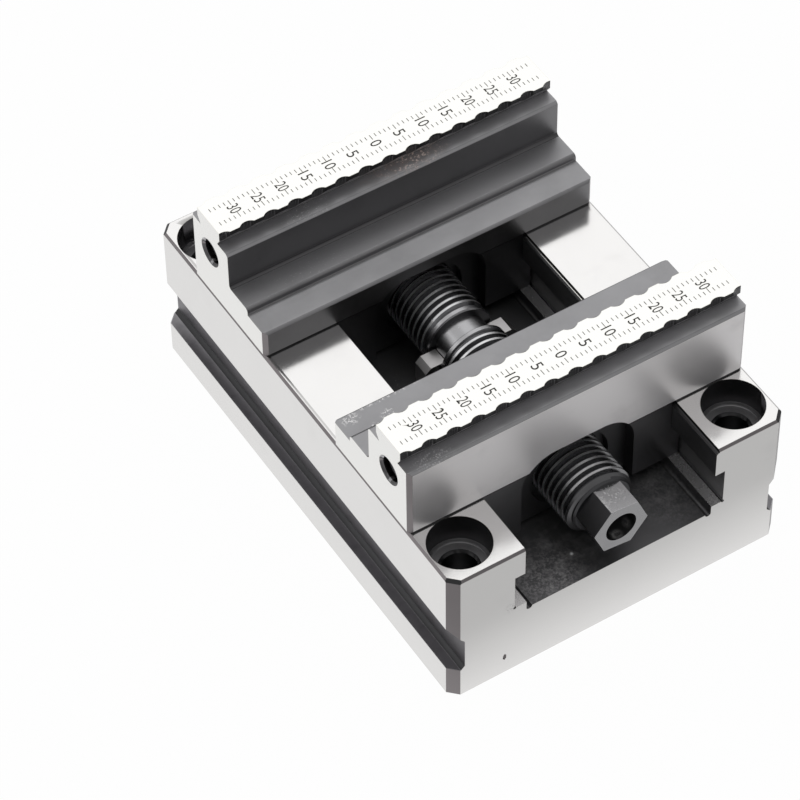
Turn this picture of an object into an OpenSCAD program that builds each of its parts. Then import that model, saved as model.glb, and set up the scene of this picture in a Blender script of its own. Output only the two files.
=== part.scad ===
// Self-centering bench vise: two stepped jaws ride in a T-shaped channel and
// are drawn together or apart by one spindle with a left-hand and a right-hand thread.
// X runs across the jaws, Y along the spindle (hex end at -Y), Z up from the underside.

/* [Body] */
// Width of the body and of both jaws
body_w = 71; // [66:0.5:110]
// Length of the body along the spindle
body_l = 100.5; // [96:0.5:160]
// Height of the body from its underside to the rail tops
body_h = 32.4; // [30:0.2:50]
// Slant on the four standing corners
corner_cut = 1.85; // [0.5:0.05:4]
// Slant round the top edges
top_cut = 0.45; // [0.2:0.05:1]

/* [Channel] */
// Width between the two rail lips
slot_w = 40.4; // [38:0.2:46]
// Thickness of the rail lips
lip_t = 6.7; // [5:0.1:9]
// Reach of the undercut behind each lip
undercut_reach = 2.1; // [1:0.1:4]
// Height of the undercut below the lips
undercut_h = 8.4; // [7:0.1:11]
// Reach of the ledge beside the floor, from the undercut's wall
ledge_reach = 2.5; // [1:0.1:4]
// Step from the ledges down to the floor
floor_step = 1.7; // [1:0.1:3]
// Radius of the relief grooves in the channel's corners
relief_r = 0.6; // [0.2:0.05:1]

/* [Mounting holes] */
// Distance of the mounting holes from the body's sides
hole_inset_x = 6.5; // [6.2:0.1:9]
// Distance of the mounting holes from the body's ends
hole_inset_y = 7.5; // [7:0.1:15]
// Diameter of the mounting holes
hole_d = 6.8; // [4:0.1:7]
// Diameter of the counterbores for the screw heads
hole_head_d = 11.8; // [9:0.1:12]
// Depth of the counterbores
hole_head_depth = 6.7; // [3:0.1:8]
// Slant from the counterbore's wall to its floor
hole_foot_cut = 0.6; // [0.1:0.1:1]
// Slant round the hole at the counterbore's floor
hole_mouth_cut = 0.5; // [0.1:0.1:1]

/* [Side grooves] */
// Height of the groove's lower flank above the underside
groove_low = 7.1; // [5:0.1:10]
// Height of the groove's mouth at the side face
groove_h = 11.3; // [8:0.1:14]
// Depth of the groove
groove_d = 2.8; // [1:0.1:3]
// Height of the slant from the groove's mouth to its wall
groove_slant_h = 3.5; // [1:0.1:5]
// Slant at the foot of the groove's wall
groove_foot_cut = 0.8; // [0.2:0.1:1]

/* [Jaws] */
// Distance between the two jaw feet
jaw_gap = 23.4; // [20:0.2:40]
// Length of the foot's low shelf
foot_l = 5.7; // [4:0.1:8]
// Length of the middle shelf, up to the upright wall
shelf_l = 6.35; // [5:0.05:9]
// Ledge on either side of the gripping lip
ledge_l = 2.05; // [1.5:0.05:4]
// Width of the gripping lip's top
lip_w = 8.9; // [7:0.1:12]
// Height of the low shelf above the rails
foot_h = 6.2; // [5.5:0.1:8]
// Height of the middle shelf above the rails
shelf_h = 7.7; // [7:0.1:11]
// Height of the ledges beside the lip
ledge_h = 16.2; // [15:0.1:25]
// Height of the jaws above the rails
jaw_h = 19.6; // [19:0.1:30]
// Slant on the jaw's standing corners
jaw_corner_cut = 0.8; // [0.3:0.1:1.5]
// Slant along the jaw's long edges
jaw_edge_cut = 0.5; // [0.2:0.05:1]
// Radius between the middle shelf and its neighbours
shelf_r = 0.8; // [0.4:0.05:1.2]

/* [Gripping lips] */
// Height of the upright land at the lip's edge
land_h = 1; // [0.5:0.1:2]
// Depth of the undercut below the land
lip_undercut = 1.5; // [0.9:0.1:2]
// Radius of the scallops in the lip's edges
scallop_r = 2.05; // [1.2:0.05:2.4]
// Depth of the scallops
scallop_d = 0.65; // [0.3:0.05:0.85]
// Distance from scallop to scallop
scallop_pitch = 5; // [4:0.5:10]

/* [Jaw end holes] */
// Drill diameter of the threaded holes in the jaw ends
end_hole_d = 5; // [3:0.1:6]
// Depth of the threaded holes
end_hole_l = 10; // [6:0.5:14]
// Height of the threaded holes above the rails
end_hole_h = 11.2; // [10:0.1:12]
// Slant round the mouth of the threaded holes
end_hole_cut = 0.5; // [0.2:0.1:1]

/* [Spindle] */
// Outer diameter of the spindle's threads
thread_d = 14; // [12:0.5:15]
// Pitch of both threads
pitch = 1.5; // [1:0.25:2]
// Length of the neck between the two threads
neck_l = 4.5; // [4:0.1:8]
// Depth of the neck below the threads' outer diameter
neck_cut = 1.5; // [1.3:0.05:2]
// Length of the smooth land beside the neck
land_l = 1.25; // [1:0.05:3]
// Slant on the spindle's ends
spindle_cut = 1.2; // [0.5:0.1:1.5]
// Width across the flats of the hex end
hex_af = 10; // [8:0.5:11]
// Length of the hex end
hex_l = 5.75; // [4:0.25:10]
// Turn of the hex end about its axis, in degrees
hex_turn = 7.3; // [0:0.1:60]
// Diameter of the blind hole in the hex end
hex_hole_d = 6.4; // [3:0.1:6.6]
// Depth of the blind hole in the hex end
hex_hole_l = 5; // [3:0.1:8]

/* [Nuts] */
// Wall of the nut round the thread
nut_wall = 1.25; // [1.1:0.05:2]
// Length of each nut
nut_l = 16.6; // [12:0.1:18]
// Wall of the carriage under the nut
under_nut_wall = 0.7; // [0.5:0.05:1.2]
// Wall of the carriage over the nut's lock screw
over_nut_wall = 1; // [0.5:0.05:1.2]
// Wall of the carriage on either side of the nut
beside_nut_wall = 3.7; // [3:0.1:4.5]
// Radius of the passage's upper corners
passage_r = 7; // [4:0.1:8]
// Diameter of the nut's lock screw
lock_screw_d = 2; // [1.6:0.1:2.2]
// Length of the nut's lock screw
lock_screw_l = 6; // [4:0.5:10]
// Width across the corners of the lock screw's socket
lock_socket_d = 1; // [0.6:0.1:1.4]
// Depth of the lock screw's socket
lock_socket_l = 1; // [0.5:0.1:2]

/* [Carriages] */
// How far the carriage ends lie behind the jaw's faces
carriage_inset = 0.2; // [0.1:0.05:0.6]
// Depth of the carriage's inner pocket, which takes the yoke
inner_pocket_l = 2.4; // [2.3:0.05:4]
// Depth of the carriage's outer pocket
outer_pocket_l = 2.65; // [2:0.05:4]

/* [Centre yoke] */
// Thickness of the yoke along the spindle
yoke_t = 3.6; // [3:0.05:4]
// Wall of each yoke ear beside the neck
ear_wall = 4.3; // [3.5:0.1:4.5]
// Height of the ears above the spindle axis
ear_rise = 0.9; // [0.5:0.1:2]
// Slant on the ear's outer top corners
ear_cut = 1.1; // [0.5:0.1:2]
// Width of the yoke's foot
yoke_foot_w = 28; // [26:0.5:34]
// Length of the yoke's foot along the spindle
yoke_foot_l = 9; // [8:0.5:14]
// Depth of the foot's pocket in the channel floor
yoke_pocket_d = 5.2; // [4.5:0.1:6]
// Thickness of the thrust washers
washer_t = 0.4; // [0.2:0.05:0.45]

/* [Fasteners] */
// Diameter of the jaw and yoke screws
screw_d = 4; // [3:0.5:4]
// Diameter of the screw heads
screw_head_d = 7; // [5.5:0.5:7.5]
// Height of the screw heads
screw_head_h = 4; // [3:0.1:4]
// Width across the flats of the sockets in the heads
socket_af = 3; // [2:0.5:4]
// Depth of the sockets
socket_l = 2; // [1:0.1:2.5]
// Diameter of the counterbores for the heads
head_bore_d = 7.8; // [7.6:0.1:8.4]
// Depth of the counterbores for the heads
head_bore_l = 4.4; // [4.2:0.1:5]
// Diameter of the screw clearance holes
screw_hole_d = 4.4; // [4.2:0.1:5]
// Diameter of the jaw dowels
jaw_dowel_d = 4; // [3:0.5:4]
// Length of the jaw dowels
jaw_dowel_l = 10; // [6:0.5:10]
// Diameter of the yoke dowels
yoke_dowel_d = 3; // [2:0.5:3]
// How far the yoke dowels stand in the body and in the yoke's foot
yoke_dowel_half = 3.5; // [2.5:0.1:4]
// Thickness of the yoke screws' lock washers
lock_washer_t = 0.9; // [0.5:0.1:1]

/* [Clearances] */
// Running clearance on each side of the carriages and round the neck
slide_gap = 0.05; // [0.02:0.01:0.1]
// Clearance between the spindle's crests and the nuts
thread_gap = 0.05; // [0.02:0.01:0.1]
// Clearance round screws, dowels and nuts that do not move in their seats
fixed_gap = 0.01; // [0.005:0.005:0.03]
// Clearance round the yoke's foot and the carriage's key
seat_gap = 0.1; // [0.05:0.05:0.2]
// Clearance between the carriages and the channel floor
floor_gap = 0.4; // [0.3:0.1:0.8]

/* [Hidden] */
$fn = 64;

// Overrun of every cut
over = 1;

// Channel levels and half widths
rail_z = body_h;
lip_z = rail_z - lip_t;
ledge_z = lip_z - undercut_h;
floor_z = ledge_z - floor_step;
slot_x = slot_w / 2;
undercut_x = slot_x + undercut_reach;
floor_x = undercut_x - ledge_reach;

// Spindle axis, set by the nut's seat above the channel floor
bore_r = thread_d / 2 + thread_gap;
nut_r = bore_r + nut_wall;
axis_z = floor_z + floor_gap + under_nut_wall + nut_r;
thread_depth = pitch * cos(30) * 5 / 8;
crest_share = 1 / 8;
flank_share = 5 / 16;
spindle_end = body_l / 2 - hex_l;
land_end = neck_l / 2 + land_l;
turns = floor((spindle_end - spindle_cut - land_end) / pitch);
thread_start = land_end + (spindle_end - spindle_cut - land_end - turns * pitch) / 2;
neck_d = thread_d - 2 * neck_cut;
land_cut = neck_cut / 5;

// Passage under the jaws
passage_z = axis_z + nut_r + lock_screw_d / 2 + over_nut_wall + 2 * seat_gap;
passage_x = nut_r + beside_nut_wall;

// Jaw outline, measured out from the middle of the vise
foot_y = jaw_gap / 2;
step_y = foot_y + foot_l;
wall_y = step_y + shelf_l;
lip_y = wall_y + ledge_l;
lip_end_y = lip_y + lip_w;
jaw_end_y = lip_end_y + ledge_l;
jaw_mid_y = (lip_y + lip_end_y) / 2;

// Carriage
carriage_y = foot_y + carriage_inset;
carriage_end_y = jaw_end_y - carriage_inset;
web_y = carriage_y + inner_pocket_l;
web_end_y = carriage_end_y - outer_pocket_l;
neck_x = slot_x - slide_gap;
flange_x = undercut_x - 5 * slide_gap;
flange_z = ledge_z + slide_gap;
web_z = floor_z + floor_gap;
nut_y = (web_y + web_end_y - nut_l) / 2;
nut_end_y = nut_y + nut_l;

// Jaw screws and dowels
screw_wall = 1;
screw_x = (passage_x + flange_x) / 2;
screw_y = carriage_y + head_bore_d / 2 + screw_wall;
screw_end_y = carriage_end_y - head_bore_d / 2 - screw_wall;
dowel_y = (screw_y + screw_end_y) / 2;
screw_seat_z = flange_z + head_bore_l;
screw_roof = 1.6;
screw_top_z = rail_z + foot_h - screw_roof;
hole_rest = 0.3;

// Yoke
ear_x = neck_d / 2 + slide_gap + ear_wall;
ear_z = axis_z + ear_rise;
yoke_seat_z = floor_z - yoke_pocket_d;
yoke_foot_z = floor_z - seat_gap;
yoke_edge_wall = 1.3;
yoke_screw_x = yoke_foot_w / 2 - screw_d / 2 - yoke_edge_wall;
yoke_dowel_x = yoke_screw_x - screw_hole_d / 2 - yoke_dowel_d / 2 - yoke_edge_wall;
yoke_head_bore_l = head_bore_l + lock_washer_t - hole_rest;
yoke_screw_top_z = yoke_foot_z - hole_rest * 2;
washer_r = thread_d / 2 - 2 * slide_gap;
washer_bore_r = neck_d / 2 + 7 * slide_gap;

// Repeats its children on both sides of the middle plane
module both_sides()
{
    for (side = [0, 1])
        mirror([side, 0, 0])
            children();
}

// Places a piece modelled for the rear jaw at the front
module at_front()
{
    rotate([0, 0, 180])
        children();
}

// Extrudes an X-Z outline along Y
module along_y(from, to)
{
    translate([0, to, 0])
        rotate([90, 0, 0])
            linear_extrude(to - from)
                children();
}

// Extrudes a Y-Z outline along X, centred
module along_x(length)
{
    rotate([90, 0, 90])
        linear_extrude(length, center = true)
            children();
}

// Rod along Y on the spindle axis
module axis_rod(r, from, to)
{
    translate([0, from, axis_z])
        rotate([-90, 0, 0])
            cylinder(r = r, h = to - from);
}

// Rectangle in plan with slanted corners
module plan(w, l, cut)
{
    polygon([
        [-w / 2 + cut, -l / 2], [w / 2 - cut, -l / 2],
        [w / 2, -l / 2 + cut], [w / 2, l / 2 - cut],
        [w / 2 - cut, l / 2], [-w / 2 + cut, l / 2],
        [-w / 2, l / 2 - cut], [-w / 2, -l / 2 + cut]]);
}

// Elevation of the body with slanted top corners
module elevation(w)
{
    polygon([
        [-w / 2, 0], [w / 2, 0], [w / 2, rail_z - top_cut],
        [w / 2 - top_cut, rail_z], [-w / 2 + top_cut, rail_z], [-w / 2, rail_z - top_cut]]);
}

// Cross-section of the T-shaped channel
module channel_outline()
{
    translate([-slot_x, lip_z - over])
        square([2 * slot_x, lip_t + 2 * over]);
    translate([-undercut_x, ledge_z])
        square([2 * undercut_x, undercut_h]);
    translate([-floor_x, floor_z])
        square([2 * floor_x, undercut_h]);
    both_sides()
    {
        translate([floor_x - relief_r, floor_z])
            circle(r = relief_r);
        translate([undercut_x, ledge_z])
            circle(r = relief_r / 2);
    }
}

// Cross-section of the groove in the right side of the body
module groove_outline()
{
    side_x = body_w / 2;
    mouth_z = groove_low + groove_h;
    polygon([
        [side_x + over, groove_low], [side_x - groove_d + groove_foot_cut, groove_low],
        [side_x - groove_d, groove_low + groove_foot_cut], [side_x - groove_d, mouth_z - groove_slant_h],
        [side_x, mouth_z], [side_x + over, mouth_z]]);
}

// Counterbored mounting hole in one corner of the body
module mounting_hole()
{
    head_z = rail_z - hole_head_depth;
    translate([body_w / 2 - hole_inset_x, body_l / 2 - hole_inset_y, 0])
    {
        translate([0, 0, -over])
            cylinder(d = hole_d, h = rail_z + 2 * over);
        translate([0, 0, head_z])
            cylinder(d1 = hole_head_d - 2 * hole_foot_cut, d2 = hole_head_d, h = hole_foot_cut);
        translate([0, 0, head_z + hole_foot_cut])
            cylinder(d = hole_head_d, h = hole_head_depth - hole_foot_cut + over);
        translate([0, 0, head_z - hole_mouth_cut])
            cylinder(d1 = hole_d, d2 = hole_d + 2 * hole_mouth_cut, h = hole_mouth_cut);
    }
}

module base()
{
    diagonal = (body_w + body_l) / sqrt(2) - corner_cut * sqrt(2);
    color([0.78, 0.77, 0.75])
    difference()
    {
        intersection()
        {
            linear_extrude(rail_z)
                plan(body_w, body_l, corner_cut);
            along_y(-body_l / 2, body_l / 2)
                elevation(body_w);
            along_x(body_w)
                elevation(body_l);
            for (turn = [45, -45])
                rotate([0, 0, turn])
                    along_y(-diagonal, diagonal)
                        elevation(diagonal);
        }
        along_y(-body_l / 2 - over, body_l / 2 + over)
        {
            channel_outline();
            both_sides()
                groove_outline();
        }
        for (end = [0, 1])
            mirror([0, end, 0])
                both_sides()
                    mounting_hole();
        translate([0, 0, yoke_seat_z + yoke_pocket_d / 2 + over / 2])
            cube([yoke_foot_w + 2 * seat_gap, yoke_foot_l + 2 * seat_gap, yoke_pocket_d + over],
                center = true);
        both_sides()
        {
            translate([yoke_screw_x, 0, -over])
            {
                cylinder(d = head_bore_d, h = yoke_head_bore_l + over);
                cylinder(d = screw_hole_d, h = yoke_seat_z + 2 * over);
            }
            translate([yoke_dowel_x, 0, yoke_seat_z - yoke_dowel_half - hole_rest])
                cylinder(d = yoke_dowel_d + 2 * fixed_gap, h = yoke_dowel_half + hole_rest + over);
        }
    }
}

// Half of the spindle's outline as radius and distance from the middle
function thread_outline() = [
    for (i = [0 : turns - 1])
        let (y = thread_start + i * pitch)
        each [
            [thread_d / 2 - thread_depth, y + pitch * flank_share],
            [thread_d / 2 - thread_depth, y + pitch * (1 - flank_share - crest_share)],
            [thread_d / 2, y + pitch * (1 - crest_share)],
            [thread_d / 2, y + pitch]]];

module half_spindle()
{
    rotate([-90, 0, 0])
        rotate_extrude()
            polygon(concat(
                [[0, 0], [neck_d / 2, 0], [neck_d / 2, neck_l / 2],
                    [thread_d / 2 - land_cut, neck_l / 2], [thread_d / 2, neck_l / 2 + land_cut],
                    [thread_d / 2, thread_start]],
                thread_outline(),
                [[thread_d / 2, spindle_end - spindle_cut],
                    [thread_d / 2 - spindle_cut, spindle_end], [0, spindle_end]]));
}

module spindle()
{
    hex_r = hex_af / sqrt(3);
    color([0.32, 0.32, 0.33])
    translate([0, 0, axis_z])
    difference()
    {
        union()
        {
            half_spindle();
            mirror([0, 1, 0])
                half_spindle();
            rotate([0, hex_turn, 0])
                translate([0, spindle_cut - spindle_end, 0])
                    rotate([90, 0, 0])
                        cylinder(r = hex_r, h = spindle_cut + hex_l, $fn = 6);
        }
        translate([0, -spindle_end - hex_l - over, 0])
            rotate([-90, 0, 0])
            {
                cylinder(d = hex_hole_d, h = hex_hole_l + over);
                translate([0, 0, hex_hole_l + over])
                    cylinder(d1 = hex_hole_d, d2 = 0, h = hex_hole_d / 4);
            }
    }
}

module yoke_outline()
{
    difference()
    {
        polygon([
            [-ear_x, yoke_seat_z], [ear_x, yoke_seat_z], [ear_x, ear_z - ear_cut],
            [ear_x - ear_cut, ear_z], [-ear_x + ear_cut, ear_z], [-ear_x, ear_z - ear_cut]]);
        translate([0, axis_z])
        {
            circle(r = neck_d / 2 + slide_gap);
            translate([-neck_d / 2 - slide_gap, 0])
                square([neck_d + 2 * slide_gap, ear_rise + over]);
        }
    }
}

module centre_yoke()
{
    color([0.75, 0.74, 0.72])
    difference()
    {
        union()
        {
            along_y(-yoke_t / 2, yoke_t / 2)
                yoke_outline();
            translate([-yoke_foot_w / 2, -yoke_foot_l / 2, yoke_seat_z])
                cube([yoke_foot_w, yoke_foot_l, yoke_foot_z - yoke_seat_z]);
        }
        both_sides()
        {
            translate([yoke_screw_x, 0, yoke_seat_z - over])
                cylinder(d = screw_d + 2 * fixed_gap, h = yoke_screw_top_z + hole_rest - yoke_seat_z + over);
            translate([yoke_dowel_x, 0, yoke_seat_z - over])
                cylinder(d = yoke_dowel_d + 2 * fixed_gap, h = yoke_dowel_half + hole_rest + over);
        }
    }
}

// Socket head screw, head down, from the head's seat up to its tip
module head_screw(seat_z, tip_z, under)
{
    translate([0, 0, seat_z - under - screw_head_h])
    difference()
    {
        union()
        {
            cylinder(d = screw_head_d, h = screw_head_h);
            cylinder(d = screw_d, h = tip_z - seat_z + under + screw_head_h);
        }
        translate([0, 0, -over])
            cylinder(d = socket_af * 2 / sqrt(3), h = socket_l + over, $fn = 6);
    }
}

module yoke_screws()
{
    color([0.22, 0.22, 0.23])
    both_sides()
        translate([yoke_screw_x, 0, 0])
            head_screw(yoke_head_bore_l, yoke_screw_top_z, lock_washer_t);
}

module yoke_lock_washers()
{
    color([0.6, 0.6, 0.6])
    both_sides()
        translate([yoke_screw_x, 0, yoke_head_bore_l - lock_washer_t])
        difference()
        {
            cylinder(d = screw_head_d, h = lock_washer_t);
            translate([0, 0, -over])
                cylinder(d = screw_hole_d, h = lock_washer_t + 2 * over);
        }
}

module yoke_dowels()
{
    color([0.7, 0.7, 0.7])
    both_sides()
        translate([yoke_dowel_x, 0, yoke_seat_z - yoke_dowel_half])
            cylinder(d = yoke_dowel_d, h = 2 * yoke_dowel_half);
}

// Side elevation of the rear jaw, standing on the rails
module jaw_outline()
{
    root_y = lip_y + lip_undercut;
    root_end_y = lip_end_y - lip_undercut;
    translate([0, rail_z])
    {
        difference()
        {
            polygon([
                [foot_y, 0], [jaw_end_y, 0],
                [jaw_end_y, ledge_h - jaw_edge_cut], [jaw_end_y - jaw_edge_cut, ledge_h],
                [root_end_y, ledge_h], [lip_end_y, jaw_h - land_h],
                [lip_end_y, jaw_h], [lip_y, jaw_h],
                [lip_y, jaw_h - land_h], [root_y, ledge_h],
                [wall_y + jaw_edge_cut, ledge_h], [wall_y, ledge_h - jaw_edge_cut],
                [wall_y, shelf_h + shelf_r], [wall_y - shelf_r, shelf_h + shelf_r],
                [wall_y - shelf_r, shelf_h], [step_y + shelf_r, shelf_h],
                [step_y, shelf_h - shelf_r], [step_y, foot_h],
                [foot_y + jaw_edge_cut, foot_h], [foot_y, foot_h - jaw_edge_cut]]);
            translate([wall_y - shelf_r, shelf_h + shelf_r])
                circle(r = shelf_r);
        }
        translate([step_y + shelf_r, shelf_h - shelf_r])
            circle(r = shelf_r);
    }
}

// Cross-section of the passage under the jaws, drawn in by a gap
module passage_outline(gap)
{
    corner_x = passage_x - passage_r;
    corner_z = passage_z - passage_r;
    both_sides()
        translate([corner_x, corner_z])
            circle(r = passage_r - gap);
    translate([-corner_x, corner_z])
        square([2 * corner_x, passage_r - gap]);
    translate([gap - passage_x, web_z])
        square([2 * (passage_x - gap), corner_z - web_z]);
}

// Rows of upright scallops in both edges of the lip
module scallops()
{
    count = floor(body_w / 2 / scallop_pitch);
    for (i = [-count : count])
        for (y = [lip_y - scallop_r + scallop_d, lip_end_y + scallop_r - scallop_d])
            translate([i * scallop_pitch, y, rail_z + ledge_h + hole_rest / 2])
                cylinder(r = scallop_r, h = jaw_h - ledge_h + over);
}

// Threaded hole in the right end of the jaw
module end_hole()
{
    drill_tip = end_hole_d * tan(30) / 2;
    translate([body_w / 2, jaw_mid_y, rail_z + end_hole_h])
        rotate([0, -90, 0])
        {
            translate([0, 0, -over])
                cylinder(d = end_hole_d, h = end_hole_l + over);
            translate([0, 0, end_hole_l])
                cylinder(d1 = end_hole_d, d2 = 0, h = drill_tip);
            translate([0, 0, -over])
                cylinder(d1 = end_hole_d + 2 * (end_hole_cut + over), d2 = end_hole_d,
                    h = end_hole_cut + over);
        }
}

// Places of the four jaw screws
module at_screws()
{
    both_sides()
        for (y = [screw_y, screw_end_y])
            translate([screw_x, y, 0])
                children();
}

module jaw()
{
    jaw_l = jaw_end_y - foot_y;
    color([0.83, 0.82, 0.8])
    difference()
    {
        intersection()
        {
            along_x(body_w)
                jaw_outline();
            translate([0, foot_y + jaw_l / 2, 0])
                linear_extrude(rail_z + jaw_h + over)
                    plan(body_w, jaw_l, jaw_corner_cut);
        }
        along_y(foot_y - over, jaw_end_y + over)
            passage_outline(0);
        scallops();
        both_sides()
            end_hole();
        at_screws()
            translate([0, 0, rail_z - over])
                cylinder(d = screw_d + 2 * fixed_gap, h = screw_top_z + hole_rest - rail_z + over);
        both_sides()
            translate([screw_x, dowel_y, rail_z - over])
                cylinder(d = jaw_dowel_d + 2 * fixed_gap, h = jaw_dowel_l / 2 + hole_rest + over);
    }
}

// Hole of the nut's lock screw or the screw itself, half in the nut and half in the carriage
module lock_screw_rod(gap, more)
{
    translate([0, 0, nut_r])
        axis_rod(lock_screw_d / 2 + gap, nut_end_y - lock_screw_l - gap, nut_end_y + more);
}

module carriage()
{
    color([0.16, 0.16, 0.17])
    difference()
    {
        union()
        {
            translate([-neck_x, carriage_y, lip_z - slide_gap])
                cube([2 * neck_x, carriage_end_y - carriage_y, lip_t + slide_gap]);
            translate([-flange_x, carriage_y, flange_z])
                cube([2 * flange_x, carriage_end_y - carriage_y, lip_z - slide_gap - flange_z]);
            along_y(web_y, web_end_y)
                passage_outline(2 * seat_gap);
        }
        along_y(carriage_y - over, web_y)
            passage_outline(0);
        along_y(web_end_y, carriage_end_y + over)
            passage_outline(0);
        axis_rod(nut_r + fixed_gap, carriage_y, carriage_end_y);
        lock_screw_rod(fixed_gap, outer_pocket_l);
        at_screws()
        {
            translate([0, 0, flange_z - over])
            {
                cylinder(d = head_bore_d, h = head_bore_l + over);
                cylinder(d = screw_hole_d, h = rail_z - flange_z + 2 * over);
            }
        }
        both_sides()
            translate([screw_x, dowel_y, rail_z - jaw_dowel_l / 2 - hole_rest])
                cylinder(d = jaw_dowel_d + 2 * fixed_gap, h = jaw_dowel_l / 2 + hole_rest + over);
    }
}

module nut()
{
    color([0.2, 0.2, 0.21])
    difference()
    {
        axis_rod(nut_r, nut_y, nut_end_y);
        axis_rod(bore_r, nut_y - over, nut_end_y + over);
        lock_screw_rod(fixed_gap, over);
    }
}

module nut_lock_screw()
{
    color([0.3, 0.3, 0.31])
    difference()
    {
        lock_screw_rod(0, 0);
        translate([0, nut_end_y - lock_socket_l, axis_z + nut_r])
            rotate([-90, 0, 0])
                cylinder(d = lock_socket_d, h = lock_socket_l + over, $fn = 6);
    }
}

module jaw_screws()
{
    color([0.22, 0.22, 0.23])
    at_screws()
        head_screw(screw_seat_z, screw_top_z, 0);
}

module jaw_dowels()
{
    color([0.7, 0.7, 0.7])
    both_sides()
        translate([screw_x, dowel_y, rail_z - jaw_dowel_l / 2])
            cylinder(d = jaw_dowel_d, h = jaw_dowel_l);
}

// Open thrust ring between the yoke and the spindle's land
module thrust_washer()
{
    color([0.8, 0.79, 0.76])
    difference()
    {
        axis_rod(washer_r, yoke_t / 2, yoke_t / 2 + washer_t);
        axis_rod(washer_bore_r, yoke_t / 2 - over, yoke_t / 2 + washer_t + over);
        translate([-thread_d, 0, ear_z])
            cube([2 * thread_d, yoke_t, thread_d]);
    }
}

base();
spindle();
centre_yoke();
yoke_screws();
yoke_lock_washers();
yoke_dowels();
at_front() jaw();  // front_jaw
jaw();  // rear_jaw
at_front() carriage();  // front_carriage
carriage();  // rear_carriage
at_front() nut();  // front_nut
nut();  // rear_nut
at_front() nut_lock_screw();  // front_nut_lock_screw
nut_lock_screw();  // rear_nut_lock_screw
at_front() jaw_screws();  // front_jaw_screws
jaw_screws();  // rear_jaw_screws
at_front() jaw_dowels();  // front_jaw_dowels
jaw_dowels();  // rear_jaw_dowels
at_front() thrust_washer();  // front_thrust_washer
thrust_washer();  // rear_thrust_washer
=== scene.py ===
import bpy
import math
from mathutils import Matrix, Vector


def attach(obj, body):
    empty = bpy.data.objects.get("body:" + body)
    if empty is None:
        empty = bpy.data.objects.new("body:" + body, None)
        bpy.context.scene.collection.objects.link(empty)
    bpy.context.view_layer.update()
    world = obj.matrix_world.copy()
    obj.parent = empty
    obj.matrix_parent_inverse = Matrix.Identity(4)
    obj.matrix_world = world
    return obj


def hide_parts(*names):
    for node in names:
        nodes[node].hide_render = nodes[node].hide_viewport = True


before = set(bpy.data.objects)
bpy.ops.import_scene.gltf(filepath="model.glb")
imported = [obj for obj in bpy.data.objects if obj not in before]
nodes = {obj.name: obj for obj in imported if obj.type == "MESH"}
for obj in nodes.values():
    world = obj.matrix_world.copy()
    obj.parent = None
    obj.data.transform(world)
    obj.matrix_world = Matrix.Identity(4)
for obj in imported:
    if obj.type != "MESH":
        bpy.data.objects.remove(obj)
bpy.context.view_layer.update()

mm = 0.001
tiny = 0.001 * mm
print("frame loaded:", len(nodes), "solids")


# Small helpers for modelling by operators

def deselectAll():
    if bpy.context.object and bpy.context.object.mode != "OBJECT":
        bpy.ops.object.mode_set(mode="OBJECT")
    bpy.ops.object.select_all(action="DESELECT")


def makeActive(piece):
    deselectAll()
    piece.select_set(True)
    bpy.context.view_layer.objects.active = piece


def nameNew(name):
    piece = bpy.context.object
    piece.name = name
    piece.data.name = name
    return piece


def applyPlace(piece):
    makeActive(piece)
    bpy.ops.object.transform_apply(location=True, rotation=True, scale=True)


def applyModifier(piece, modifier):
    makeActive(piece)
    bpy.ops.object.modifier_apply(modifier=modifier.name)


def joinInto(piece, others):
    makeActive(piece)
    for other in others:
        other.select_set(True)
    bpy.ops.object.join()
    return piece


def copyPiece(piece, name):
    makeActive(piece)
    bpy.ops.object.duplicate(linked=False)
    return nameNew(name)


def cutWith(piece, cutter):
    # takes the cutter's volume away and keeps its material on the new faces
    modifier = piece.modifiers.new("cut", "BOOLEAN")
    modifier.operation = "DIFFERENCE"
    modifier.solver = "EXACT"
    modifier.material_mode = "TRANSFER"
    modifier.object = cutter
    applyModifier(piece, modifier)
    bpy.data.objects.remove(cutter, do_unlink=True)


def addCutter(name, place, size, material, turn=(0, 0, 0)):
    # a box that cuts, with its place and size in mm and its turn in degrees
    deselectAll()
    bpy.ops.mesh.primitive_cube_add(size=1, location=[value * mm for value in place],
        rotation=[math.radians(angle) for angle in turn], scale=[value * mm for value in size])
    cutter = nameNew(name)
    applyPlace(cutter)
    cutter.data.materials.append(material)
    return cutter


def editMesh(piece):
    makeActive(piece)
    bpy.ops.object.mode_set(mode="EDIT")


def leaveEdit():
    bpy.ops.object.mode_set(mode="OBJECT")


def selectFaces(piece, wanted):
    # called in edit mode, and comes back to it with only the wanted faces selected
    bpy.ops.mesh.select_mode(type="FACE")
    bpy.ops.mesh.select_all(action="DESELECT")
    leaveEdit()
    for face in piece.data.polygons:
        face.select = wanted(face)
    bpy.ops.object.mode_set(mode="EDIT")


def mergedCopy(node, name, within=0.0005, flatAngle=0.2):
    # a closed copy of a CAD solid, whose triangles are loose; merged within mm, flat within degrees
    piece = copyPiece(nodes[node], name)
    piece.parent = None
    piece.data.materials.clear()
    editMesh(piece)
    bpy.ops.mesh.select_all(action="SELECT")
    bpy.ops.mesh.remove_doubles(threshold=within * mm)
    bpy.ops.mesh.dissolve_limited(angle_limit=math.radians(flatAngle))
    leaveEdit()
    return piece


def smoothByAngle(piece, degrees):
    # round faces smooth, with the large flat faces kept flat beside them
    makeActive(piece)
    bpy.ops.object.shade_smooth_by_angle(angle=math.radians(degrees))
    weigh = piece.modifiers.new("weigh", "WEIGHTED_NORMAL")
    weigh.keep_sharp = True
    applyModifier(piece, weigh)


# What a face's normal says along an axis
lean = {
    "upright": 0.1,   # below this the face stands upright
    "slanted": 0.5,   # from here it is a slant
    "flat": 0.9,      # from here it faces that way
}


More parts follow.
